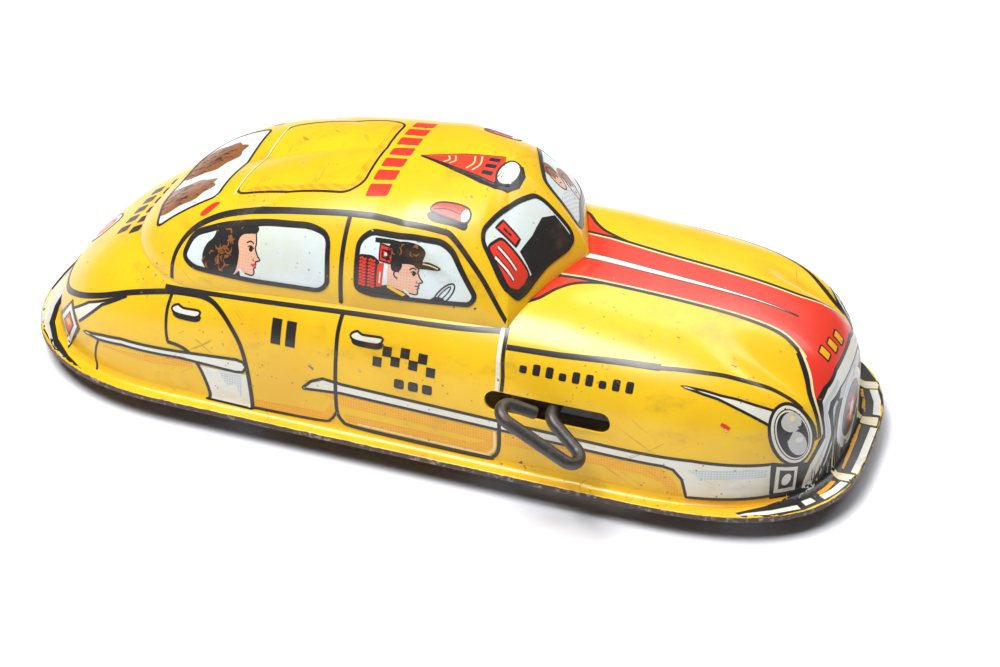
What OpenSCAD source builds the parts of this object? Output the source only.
// Clockwork tin taxi: two pressed shells on a strap frame, with a spring motor wound by a wire key.
// +X is the front of the car, +Y its left side, +Z up. The wheels stand on z = 0.

/* [Body] */
// Overall length over the turned flange
body_len = 184; // [160:1:221]
// Overall width over the turned flange
body_w = 70.9; // [66:0.1:86]
// Height of the flange edge above the floor
flange_z = 5; // [4:0.1:6.5]
// Depth of the turned-down lip with the flange sheet
lip_h = 1.2; // [1.1:0.1:1.6]
// Thickness of the pressed tin
tin = 0.5; // [0.4:0.05:0.6]
// Flange width beside the doors
flange_side = 2.85; // [2.4:0.05:3.4]
// Flange width at the nose, under the printed bumper
flange_nose = 5.2; // [4.5:0.1:7]
// Flange width at the tail
flange_tail = 4.9; // [4.5:0.1:7]
// Radius of the cove between flange and wall
cove_r = 1.6; // [1.2:0.1:2]
// Height of the cowl, the highest line of the lower body
cowl_z = 38.3; // [34:0.1:42]
// Fall of the bonnet per millimetre of length
bonnet_fall = 0.075; // [0.05:0.005:0.09]
// Fall of the boot per square millimetre of length
boot_fall = 0.003; // [0.002:0.0001:0.0035]
// Depth of the valleys beside the bonnet at the nose, as a share of the height
valley = 0.17; // [0:0.01:0.2]

/* [Cabin] */
// Foot of the windscreen at the middle
screen_x = 30.7; // [28:0.1:34]
// Front corner of the cabin, along the car
corner_x = 21.8; // [19:0.1:24]
// Front corner of the cabin, out from the middle
corner_y = 24.6; // [22:0.1:26]
// Where the rear rounding of the cabin starts
quarter_x = -44; // [-48:0.5:-40]
// Widest half width of the cabin
quarter_y = 27.4; // [25:0.1:28]
// Foot of the rear window at the middle
rear_x = -66.4; // [-70:0.1:-62]
// Height of the roof at its highest point
roof_z = 56.6; // [50:0.1:62]
// Where the roof is highest
roof_x = 15.6; // [8:0.1:18]
// How far the body runs on under the cabin's edge
lap = 2; // [1.5:0.1:2.5]

/* [Winding] */
// Winding arbor, along the car
arbor_x = 33.8; // [30:0.1:38]
// Winding arbor height
arbor_z = 21.8; // [20:0.1:24]
// Radius of the key wire and its shank
wire_r = 1.3; // [1:0.05:1.5]
// Length of the slot in the right wall
slot_len = 26; // [16:0.5:30]
// Height of the slot in the right wall
slot_h = 4.3; // [4.2:0.1:5.5]
// How far the key's bow stands out past the wall
key_stand = 10.8; // [9.5:0.1:15]
// Half length of the bow
bow_half = 10.3; // [9:0.1:12]
// Angle of the bow about its shank at rest
bow_tilt = -29; // [-90:1:90]

/* [Motor] */
// Gap between the motor plates
plate_gap = 20; // [19:0.5:24]
// Thickness of the motor plates
plate_t = 1; // [0.8:0.1:1.2]
// Gear module
gear_m = 0.5; // [0.45:0.05:0.55]
// Teeth of the great wheel
great_teeth = 48; // [42:1:50]
// Teeth of the second pinion
second_pinion_teeth = 10; // [10:1:12]
// Teeth of the second wheel
second_teeth = 36; // [30:1:38]
// Teeth of the drive pinion
drive_pinion_teeth = 12; // [10:1:14]
// Width of the mainspring strip
spring_w = 12; // [8:0.5:13]
// Outer radius of the wound mainspring
spring_r = 11; // [9:0.5:11.5]
// Turns of the mainspring
spring_turns = 6; // [4:1:8]

/* [Running gear] */
// Radius of all four wheels
wheel_r = 11; // [9.5:0.1:12]
// Width of a wheel
wheel_w = 5; // [4:0.1:6]
// Half of the track, to the inner face of a wheel
track_in = 20.5; // [18:0.1:21.5]
// Radius of both axles
axle_r = 1.2; // [1:0.05:1.5]
// Rear axle, along the car
rear_axle_x = -50; // [-54:0.5:-44]
// Running clearance round axles and arbors
run = 0.06; // [0.03:0.01:0.1]

/* [Hidden] */
$fn = 48;

// Shell outlines: a straight side with a superellipse at each end
side_front_x = 43.4;
side_rear_x = -49;
half_len = body_len / 2;
half_w = body_w / 2;
wall_w = half_w - flange_side;
key_reach = wall_w + key_stand;
// The key stands out on the right, so the car sits off the middle line by half of what it adds.
mid_y = (key_reach - half_w) / 2;
wall_nose = half_len - flange_nose;
wall_tail = -half_len + flange_tail;
flange_power = [2.95, 2.33];
wall_power = [2.71, 2.33];
rear_cabin_power = 2.1;
flange_top = flange_z + lip_h;
flange_under = flange_top - tin;
// Powers of the wall's rounding: at the nose, along the side and at the tail
nose_bend = 4.35;
side_bend = 3.4;
tail_bend = 2.4;
// Valleys beside the bonnet: where they start, where they are deepest, and their place and width across
valley_from = 58;
valley_to = 80;
valley_y = 15.5;
valley_w = 4.6;
cowl_x = 33;
boot_x = -20;
// Cabin roof: its ridge, its fall and the rounding at screen, corner, door, quarter and rear
ridge_front = 13.5;
ridge_rear = -8;
roof_fall = 0.0024;
cabin_bends = [[0, 1.3], [1 / 3, 1.45], [0.45, 2.9], [2 / 3, 1.8], [1, 1.36]];
seat_gap = 0.05;
// Steps of the two skins
ribs = 42;
wall_steps = [3, 8, 14, 21, 29, 38, 49, 61, 75, 90];
lining_steps = [5, 16, 30, 46, 64, 90];
spread = 2 / 3.2;
roof_steps = [7, 15, 24, 34, 45, 56, 67, 77, 87];
ceiling_steps = [12, 27, 44, 62, 84];

// Motor
plate_in = plate_gap / 2;
plate_out = plate_in + plate_t;
great_r = great_teeth * gear_m / 2;
second_pinion_r = second_pinion_teeth * gear_m / 2;
second_r = second_teeth * gear_m / 2;
drive_pinion_r = drive_pinion_teeth * gear_m / 2;
addendum = 0.8 * gear_m;
dedendum = 1.1 * gear_m;
backlash = 0.14;
first_dir = -10;
second_x = arbor_x + (great_r + second_pinion_r) * cos(first_dir);
second_z = arbor_z + (great_r + second_pinion_r) * sin(first_dir);
second_dir = -asin((second_z - wheel_r) / (second_r + drive_pinion_r));
axle_x = second_x + (second_r + drive_pinion_r) * cos(second_dir);
second_arbor_r = 1;
core_r = 3;
core_gap = 0.1;
layer = 0.8;
great_y = -plate_in + 0.8;
ratchet_y = great_y + layer + 0.3;
second_wheel_y = plate_in - 0.7 - layer;
spring_y = second_wheel_y - 0.5 - spring_w;
strip = 0.35;
ratchet_r = 5.4;
ratchet_root = 4.4;
ratchet_teeth = 12;
click_gap = 0.12;
click_pivot = 7.6;
click_dir = 150;
function click_at(r, dir) = [arbor_x + r * cos(dir), arbor_z + r * sin(dir)];
click_pin = 0.7;
click_p = click_at(click_pivot, click_dir);
click_nose = 0.35;
click_n = click_at(ratchet_r + click_gap + click_nose, click_dir - 35);
click_len = norm(click_n - click_p);
click_turn = atan2(click_n[1] - click_p[1], click_n[0] - click_p[0]);
collar_r = 2.3;
collar_len = 6.5;
collar_bore = 4;
collar_y = -plate_out - 0.6;
key_apex = wall_w + 1.4;
pillar_r = 1.5;
pillar_pin = 0.9;
pillar_gap = great_r + addendum + pillar_r + 0.5;
pillars = [[arbor_x + pillar_gap * cos(215), arbor_z + pillar_gap * sin(215)],
           [arbor_x + pillar_gap * cos(131), arbor_z + pillar_gap * sin(131)],
           [axle_x + 11, wheel_r + 3]];
strap_t = 0.6;
strap_w = 8;
strap_z = flange_under - strap_t;
middle_strap_x = 22;
front_strap_x = axle_x + wheel_r + strap_w / 2 + 0.5;
bracket_x = rear_axle_x + wheel_r + strap_w / 2 + 1;
tab_w = 4;
tab_play = 0.05;
ear_y = 15;
axle_end = track_in + wheel_w + 1;
ear_r = 3.2;

// ---- outlines -------------------------------------------------------------------------------
function unit(s, lo, hi) = min(1, max(0, (s - lo) / (hi - lo)));

// Point of a shell outline at s, 0 at the nose and 1 at the tail, on the +Y side
function ring(s, front, rear, w, power) =
    s < 1 / 3 ? [side_front_x + (front - side_front_x) * pow(max(0, cos(270 * s)), 2 / power[0]),
                 w * pow(max(0, sin(270 * s)), 2 / power[0])]
  : s > 2 / 3 ? [side_rear_x + (rear - side_rear_x) * pow(max(0, sin(270 * (s - 2 / 3))), 2 / power[1]),
                 w * pow(max(0, cos(270 * (s - 2 / 3))), 2 / power[1])]
  : [side_front_x + (side_rear_x - side_front_x) * (3 * s - 1), w];

function wall_ring(s, in) = ring(s, wall_nose - in, wall_tail + in, wall_w - in, wall_power);
function flange_ring(s, in) = ring(s, half_len - in, -half_len + in, half_w - in, flange_power);

function cabin_ring(s) =
    s < 1 / 3 ? [screen_x + (corner_x - screen_x) * 3 * s, corner_y * 3 * s]
  : s > 2 / 3 ? [quarter_x + (rear_x - quarter_x) * pow(sin(270 * (s - 2 / 3)), 2 / rear_cabin_power),
                 quarter_y * pow(max(0, cos(270 * (s - 2 / 3))), 2 / rear_cabin_power)]
  : [corner_x + (quarter_x - corner_x) * (3 * s - 1),
     corner_y + (quarter_y - corner_y) * pow(3 * s - 1, 0.8)];

// A point of the cabin outline moved inwards
function drawn_in(p, d) =
    let(c = [min(8, max(-42, p[0])), 0], v = c - p) p + v * (d / norm(v));

// ---- lower body surface ---------------------------------------------------------------------
function crown(x) =
    cowl_z - bonnet_fall * max(0, x - cowl_x) - boot_fall * pow(max(0, boot_x - x), 2);

// Share of the height that a valley takes at x, y
function dip(x, y) =
    let(k = unit(x, valley_from, valley_to))
    valley * k * k * (3 - 2 * k) * exp(-pow((abs(y) - valley_y) / valley_w, 2));

// Height of the lower body's skin at x, y, for a skin that lies `in` below the outer face
function deck(x, y, in) =
    let(front = max(0, (x - side_front_x) / (wall_nose - in - side_front_x)),
        rear = max(0, (side_rear_x - x) / (side_rear_x - wall_tail - in)),
        across = abs(y) / (wall_w - in),
        end = max(front, rear),
        p = front > 0 ? wall_power[0] : wall_power[1],
        g = end > 0 ? pow(pow(end, p) + pow(across, p), 1 / p) : across,
        share = end > 0 ? pow(end / g, p) : 0,
        bend = side_bend + ((front > 0 ? nose_bend : tail_bend) - side_bend) * share)
    flange_top + (crown(x) - in - flange_top) * pow(1 - pow(min(1, g), bend), 1 / bend) * (1 - dip(x, y));

function step_in(b, e, a, in) =
    let(k = 1 - pow(cos(a), spread), q = b + (e - b) * k) [q[0], q[1], deck(q[0], q[1], in)];

// Closed section of the pressing at s: lip, flange, cove, wall, lap, lining, underside
function body_section(s) =
    let(f = flange_ring(s, 0), b = wall_ring(s, 0), e = drawn_in(cabin_ring(s), lap),
        out = (f - b) / norm(f - b), c = b + out * cove_r,
        fi = f - out * tin, bi = b - out * tin)
    concat([[f[0], f[1], flange_z], [f[0], f[1], flange_top - 0.3],
            [f[0] - out[0] * 0.3, f[1] - out[1] * 0.3, flange_top]],
           [for (a = [0, 30, 60, 90]) [c[0] - out[0] * cove_r * sin(a), c[1] - out[1] * cove_r * sin(a),
                                       flange_top + cove_r * (1 - cos(a))]],
           [for (a = wall_steps) step_in(b, e, a, 0)],
           [for (i = [len(lining_steps) - 1:-1:0]) step_in(bi, e, lining_steps[i], tin)],
           [[bi[0], bi[1], flange_under + cove_r + 0.4], [bi[0] + out[0] * cove_r, bi[1] + out[1] * cove_r,
             flange_under], [fi[0], fi[1], flange_under], [fi[0], fi[1], flange_z]]);

function mirrored(p, side) = [p[0], p[1] * side, p[2]];

// All sections round the car, right side first, as one closed ring of closed loops
function round_car(right) =
    concat([for (r = right) [for (p = r) mirrored(p, -1)]],
           [for (i = [len(right) - 2:-1:1]) [for (p = right[i]) mirrored(p, 1)]]);

module loop_skin(loops) {
    n = len(loops);
    m = len(loops[0]);
    polyhedron(points = [for (l = loops) each l],
               faces = [for (i = [0:n - 1], j = [0:m - 1])
                   let(a = i * m + j, b = i * m + (j + 1) % m,
                       c = ((i + 1) % n) * m + (j + 1) % m, d = ((i + 1) % n) * m + j)
                   each [[a, b, c], [a, c, d]]]);
}

module lower_body() {
    color("gold") place() difference() {
        loop_skin(round_car([for (i = [0:ribs]) body_section(i / ribs)]));
        winding_slot();
    }
}

// Long slot with a round relief where the shank passes
module winding_slot() {
    across(wall_w + 4, wall_w - 8) {
        translate([arbor_x - 1.3 - slot_len / 2 + slot_h / 2, arbor_z - 0.5]) circle(r = slot_h / 2);
        translate([arbor_x - 1.3 + slot_len / 2 - slot_h / 2, arbor_z - 0.5]) circle(r = slot_h / 2);
        translate([arbor_x - 1.3 - slot_len / 2 + slot_h / 2, arbor_z - 0.5 - slot_h / 2])
            square([slot_len - slot_h, slot_h]);
        translate([arbor_x, arbor_z]) circle(r = slot_h / 2 + 0.4);
    }
}

// ---- cabin ----------------------------------------------------------------------------------
function ridge(x) = roof_z - roof_fall * pow(x - roof_x, 2);

// Height of one straight run through a list of [place, value]
function along(s, list, i = 0) =
    i >= len(list) - 2 || s <= list[i + 1][0]
  ? list[i][1] + (list[i + 1][1] - list[i][1]) * unit(s, list[i][0], list[i + 1][0])
  : along(s, list, i + 1);

function dome_point(o, s, a, in) =
    let(foot = deck(o[0], o[1], 0) + seat_gap, top = [min(ridge_front, max(ridge_rear, o[0])), 0],
        bend = along(s, cabin_bends), g = pow(cos(a), 2 / bend), q = top + (o - top) * g)
    [q[0], q[1], foot + (ridge(top[0]) - in - foot) * pow(sin(a), 2 / bend)];

function outer_arc(s) = [for (a = concat([0], roof_steps)) dome_point(cabin_ring(s), s, a, 0)];
function inner_arc(s) =
    [for (a = concat([0], ceiling_steps)) dome_point(drawn_in(cabin_ring(s), tin), s, a, tin)];

// Two domes joined at the foot, each closed along the ridge by a row of flat strips
module cabin() {
    outer = round_car([for (i = [0:ribs]) outer_arc(i / ribs)]);
    inner = round_car([for (i = [0:ribs]) inner_arc(i / ribs)]);
    n = len(outer);
    mo = len(outer[0]);
    mi = len(inner[0]);
    first = n * mo;
    color("gold") place() polyhedron(
        points = concat([for (l = outer) each l], [for (l = inner) each l]),
        faces = concat(
            [for (i = [0:n - 1], j = [0:mo - 2])
                let(k = (i + 1) % n, a = i * mo + j, d = k * mo + j) each [[a, a + 1, d + 1], [a, d + 1, d]]],
            [for (i = [0:n - 1], j = [0:mi - 2])
                let(k = (i + 1) % n, a = first + i * mi + j, d = first + k * mi + j)
                each [[a, d + 1, a + 1], [a, d, d + 1]]],
            [for (i = [0:n - 1]) let(k = (i + 1) % n) each
                [[i * mo, k * mo, first + k * mi], [i * mo, first + k * mi, first + i * mi]]],
            ridge_strips([for (i = [0:n - 1]) i * mo + mo - 1], false),
            ridge_strips([for (i = [0:n - 1]) first + i * mi + mi - 1], true)));
}

// Triangles across the gap that a ring of top points leaves along the ridge
function ridge_strips(top, flip) =
    let(n = len(top), h = n / 2)
    [for (i = [0:h - 1])
        let(a = top[i], b = top[i + 1], c = top[(n - i - 1) % n], d = top[(n - i) % n])
        each concat(i == h - 1 ? [] : [turned([a, c, b], flip)], i == 0 ? [] : [turned([a, d, c], flip)],
                    i == h - 1 ? [] : [])];
function turned(t, flip) = flip ? [t[0], t[2], t[1]] : t;

// ---- placing --------------------------------------------------------------------------------
module place() translate([0, mid_y, 0]) children();

// Extrudes an X-Z outline along Y, from y = -far to y = -near, both measured to the right
module across(far, near) translate([0, -near, 0]) rotate([90, 0, 0]) linear_extrude(far - near) children();

// A rod along Y from y0 to y1
module rod(x, z, r, y0, y1) translate([x, y1, z]) rotate([90, 0, 0]) cylinder(r = r, h = y1 - y0);

// A disc of thickness t standing on y0
module sheet(x, z, y0, t) translate([x, y0 + t, z]) rotate([90, 0, 0]) linear_extrude(t) children();

// ---- motor frame ----------------------------------------------------------------------------
module plate_outline() {
    p = pillars;
    polygon([[middle_strap_x - strap_w / 2, flange_under], [front_strap_x + strap_w / 2, flange_under],
             [front_strap_x + strap_w / 2, flange_under + 8], [second_x + 7, second_z + 5],
             [arbor_x + 7, arbor_z + 9], [p[1][0] + 2, p[1][1] + 3], [p[1][0] - 3, p[1][1] + 2],
             [p[0][0] - 4, p[0][1]]]);
}

module plate(y0) difference() {
    union() {
        sheet(0, 0, y0, plate_t) plate_outline();
        for (x = [middle_strap_x, front_strap_x])
            translate([x - tab_w / 2, y0, flange_z - 0.1]) cube([tab_w, plate_t, flange_under + 1 - flange_z]);
    }
    rod(arbor_x, arbor_z, wire_r + run, y0 - 1, y0 + plate_t + 1);
    rod(second_x, second_z, second_arbor_r + run, y0 - 1, y0 + plate_t + 1);
    rod(axle_x, wheel_r, axle_r + run, y0 - 1, y0 + plate_t + 1);
    for (p = pillars) rod(p[0], p[1], pillar_pin, y0 - 1, y0 + plate_t + 1);
}

module motor_plate_right() color("lightsteelblue") place() plate(-plate_out);
module motor_plate_left() color("lightsteelblue") place() plate(plate_in);

// Distance pillars with riveted ends in the plates
module frame_pillars() color("silver") place() for (p = pillars) {
    rod(p[0], p[1], pillar_r, -plate_in, plate_in);
    rod(p[0], p[1], pillar_pin, -plate_out - 0.3, plate_out + 0.3);
}

// Half width inside the lip at x
function inside_lip(x) =
    let(k = max(0, (x - side_front_x) / (half_len - side_front_x)), p = flange_power[0])
    half_w * pow(1 - pow(k, p), 1 / p) - tin - 0.3;

module strap(x) difference() {
    reach = inside_lip(x + strap_w / 2);
    translate([x - strap_w / 2, -reach, strap_z]) cube([strap_w, 2 * reach, strap_t]);
    for (y = [-plate_out, plate_in])
        translate([x - tab_w / 2 - tab_play, y - tab_play, strap_z - 1])
            cube([tab_w + 2 * tab_play, plate_t + 2 * tab_play, strap_t + 2]);
}

module front_strap() color("dimgray") place() strap(front_strap_x);
module middle_strap() color("dimgray") place() strap(middle_strap_x);

// Strap ahead of the rear wheels, with an ear on each side that runs back to the axle
module rear_bracket() color("dimgray") place() difference() {
    reach = half_w - tin - 0.8;
    union() {
        translate([bracket_x - strap_w / 2, -reach, strap_z]) cube([strap_w, 2 * reach, strap_t]);
        for (y = [-ear_y - plate_t, ear_y]) sheet(0, 0, y, plate_t) {
            polygon([[bracket_x + strap_w / 2, strap_z], [bracket_x + strap_w / 2, strap_z + 3],
                     [rear_axle_x, wheel_r + ear_r], [rear_axle_x, wheel_r - ear_r], [rear_axle_x + 4, strap_z]]);
            translate([rear_axle_x, wheel_r]) circle(r = ear_r);
        }
    }
    rod(rear_axle_x, wheel_r, axle_r + run, -ear_y - plate_t - 1, ear_y + plate_t + 1);
}

// ---- winding parts --------------------------------------------------------------------------
// Flat strip wound from the arbor's core to a pillar, where its last eighth of a turn lifts away
module mainspring() {
    turns = spring_turns * 360;
    inner = core_r + core_gap;
    end = pillar_gap - pillar_r - strip - 0.08;
    path = [for (a = [0:15:turns])
        let(lift = max(0, (a - turns + 45) / 45)) [inner + (spring_r - inner) * a / turns
             + (end - spring_r) * pow(lift, 2), a + 215]];
    color("steelblue") place() sheet(arbor_x, arbor_z, spring_y, spring_w)
        polygon(concat([for (p = path) p[0] * [cos(p[1]), sin(p[1])]],
                       [for (i = [len(path) - 1:-1:0]) (path[i][0] + strip) * [cos(path[i][1]), sin(path[i][1])]]));
}

// Arbor with the spring's core, and a socket outside the plate for the key's shank
module winding_arbor() color("silver") place() difference() {
    union() {
        rod(arbor_x, arbor_z, wire_r, collar_y - 1, plate_out + 1);
        rod(arbor_x, arbor_z, core_r, spring_y - 1, spring_y + spring_w);
        rod(arbor_x, arbor_z, collar_r, collar_y - collar_len, collar_y);
    }
    rod(arbor_x, arbor_z, wire_r, collar_y - collar_len - 1, collar_y - collar_len + collar_bore);
}

// Centre line of the key in its own plane: across the shank, and out from the car
function turn(p, a, b, size, n) =
    [for (i = [0:n]) let(k = i / n, u = p + a * size, v = p + b * size)
        u * (1 - k) * (1 - k) + p * 2 * k * (1 - k) + v * k * k];

function key_line() =
    let(out = key_reach - wire_r, r = 2.6, c = [bow_half - wire_r - r, out - r],
        apex = [0, key_apex], away = c - apex, slope = atan2(away[1], away[0]) - asin(r / norm(away)),
        leg = [cos(slope), sin(slope)])
    concat([[0, collar_len - collar_bore - collar_y]],
           turn(apex, [0, -1], leg, 1.6, 4),
           [for (a = [slope - 90:20:90]) c + r * [cos(a), sin(a)]],
           [for (i = [-1:1]) [-i * c[0] * 0.5, out]],
           [for (a = [90:20:270 - slope]) [-c[0], c[1]] + r * [cos(a), sin(a)]],
           [apex + 3 * [-leg[0], leg[1]]]);

module winding_key() {
    line = key_line();
    n = len(line);
    sides = 12;
    u = [cos(bow_tilt), 0, sin(bow_tilt)];
    w = [-sin(bow_tilt), 0, cos(bow_tilt)];
    points = [for (i = [0:n - 1])
        let(t = line[min(n - 1, i + 1)] - line[max(0, i - 1)], k = t / norm(t),
            side = u * k[1] + [0, k[0], 0], at = [arbor_x, 0, arbor_z] + u * line[i][0] - [0, line[i][1], 0])
        for (j = [0:sides - 1])
            at + wire_r * (cos(360 * j / sides) * side + sin(360 * j / sides) * w)];
    color("dimgray") place() polyhedron(points = points, faces = concat(
        [[for (j = [0:sides - 1]) j], [for (j = [sides - 1:-1:0]) (n - 1) * sides + j]],
        [for (i = [0:n - 2], j = [0:sides - 1])
            let(a = i * sides + j, b = i * sides + (j + 1) % sides) each
                [[a, a + sides, b], [b, a + sides, b + sides]]]));
}

module ratchet_wheel() {
    pitch = 360 / ratchet_teeth;
    color("khaki") place() difference() {
        sheet(arbor_x, arbor_z, ratchet_y, layer) polygon([for (i = [0:ratchet_teeth - 1]) each
            [ratchet_r * [cos(i * pitch), sin(i * pitch)], ratchet_root * [cos(i * pitch + 3), sin(i * pitch + 3)]]]);
        rod(arbor_x, arbor_z, wire_r, ratchet_y - 1, ratchet_y + layer + 1);
    }
}

// ---- gears ----------------------------------------------------------------------------------
// Half the angle of an involute tooth at radius r, for a gear of n teeth
function tooth_half(n, r) =
    let(pitch_r = n * gear_m / 2, base = pitch_r * cos(20), roll = sqrt(max(0, pow(r / base, 2) - 1)),
        roll_p = tan(20))
    (90 / n) - (backlash / 2 / pitch_r + roll - roll_p) * 180 / PI + atan(roll) - 20;

// Gear outline whose first tooth points along `phase`
module gear(n, phase) {
    pitch_r = n * gear_m / 2;
    root = pitch_r - dedendum;
    low = max(root, pitch_r * cos(20));
    tip = pitch_r + addendum;
    flank = concat(root < low ? [[root, tooth_half(n, low)]] : [],
                   [for (r = [low, pitch_r, tip]) [r, tooth_half(n, r)]]);
    polygon([for (i = [0:n - 1]) let(c = phase + 360 * i / n) each concat(
        [for (f = flank) f[0] * [cos(c - f[1]), sin(c - f[1])]],
        [for (k = [len(flank) - 1:-1:0]) flank[k][0] * [cos(c + flank[k][1]), sin(c + flank[k][1])]])]);
}

module great_wheel() color("khaki") place() difference() {
    sheet(arbor_x, arbor_z, great_y, layer) gear(great_teeth, first_dir);
    rod(arbor_x, arbor_z, wire_r + run, great_y - 1, great_y + layer + 1);
    rod(click_p[0], click_p[1], click_pin, great_y - 1, great_y + layer + 1);
}

// Pawl beside the ratchet wheel, drawn as it rides over a tooth
module click() color("silver") place() difference() {
    sheet(click_p[0], click_p[1], ratchet_y, layer) rotate(click_turn) {
        circle(r = 1.5);
        polygon([[0, -1.5], [click_len, -click_nose], [click_len, click_nose], [0, 1.5]]);
        translate([click_len, 0]) circle(r = click_nose);
    }
    rod(click_p[0], click_p[1], click_pin + run, ratchet_y - 1, ratchet_y + layer + 1);
}

module click_rivet() color("silver") place() {
    rod(click_p[0], click_p[1], click_pin, great_y - 0.2, ratchet_y + layer + 0.5);
    rod(click_p[0], click_p[1], 1.2, ratchet_y + layer + 0.1, ratchet_y + layer + 0.5);
}

// Leaf that presses the click inwards, on a foot that stands on the great wheel
module click_spring() color("steelblue") place() {
    sheet(click_p[0], click_p[1], ratchet_y, layer) rotate(click_turn)
        polygon([[-2.4, 1.95], [click_len, 1.05], [click_len, 1.3], [-2.4, 2.2]]);
    sheet(click_p[0], click_p[1], great_y + layer, ratchet_y - great_y) rotate(click_turn)
        translate([-3.2, 1.7]) square([1.2, 1]);
}

module second_arbor() color("silver") place()
    rod(second_x, second_z, second_arbor_r, -plate_out - 0.6, plate_out + 0.6);

module second_pinion() color("khaki") place() difference() {
    sheet(second_x, second_z, great_y - 0.3, layer + 0.8)
        gear(second_pinion_teeth, first_dir + 180 + 180 / second_pinion_teeth);
    rod(second_x, second_z, second_arbor_r, -plate_out, plate_out);
}

module second_wheel() color("khaki") place() difference() {
    sheet(second_x, second_z, second_wheel_y, layer) gear(second_teeth, second_dir);
    rod(second_x, second_z, second_arbor_r, -plate_out, plate_out);
}

module drive_pinion() color("khaki") place() difference() {
    sheet(axle_x, wheel_r, second_wheel_y - 0.3, layer + 0.5)
        gear(drive_pinion_teeth, second_dir + 180 + 180 / drive_pinion_teeth);
    rod(axle_x, wheel_r, axle_r, -plate_out, plate_out);
}

// ---- running gear ---------------------------------------------------------------------------
module drive_axle() color("silver") place() rod(axle_x, wheel_r, axle_r, -axle_end, axle_end);
module rear_axle() color("silver") place() rod(rear_axle_x, wheel_r, axle_r, -axle_end, axle_end);

// Pressed wheel: a rim, a thin web and a hub, from y0 outwards along +Y
module wheel(x, y0) {
    rim = 1.4;
    hub = 2.6;
    web = [wheel_w * 0.34, wheel_w * 0.56];
    translate([x, y0 + wheel_w, wheel_r]) rotate([90, 0, 0]) rotate_extrude()
        polygon([[axle_r, 0], [hub, 0], [hub, web[0]], [wheel_r - rim, web[0]], [wheel_r - rim, 0], [wheel_r, 0],
                 [wheel_r, wheel_w], [wheel_r - rim, wheel_w], [wheel_r - rim, web[1]], [hub, web[1]],
                 [hub, wheel_w], [axle_r, wheel_w]]);
}

module front_wheel_right() color("dimgray") place() wheel(axle_x, -track_in - wheel_w);
module front_wheel_left() color("dimgray") place() wheel(axle_x, track_in);
module rear_wheel_right() color("dimgray") place() wheel(rear_axle_x, -track_in - wheel_w);
module rear_wheel_left() color("dimgray") place() wheel(rear_axle_x, track_in);

lower_body();
cabin();
motor_plate_right();
motor_plate_left();
frame_pillars();
front_strap();
middle_strap();
rear_bracket();
mainspring();
winding_arbor();
winding_key();
ratchet_wheel();
great_wheel();
click();
click_rivet();
click_spring();
second_arbor();
second_pinion();
second_wheel();
drive_axle();
drive_pinion();
front_wheel_right();
front_wheel_left();
rear_axle();
rear_wheel_right();
rear_wheel_left();
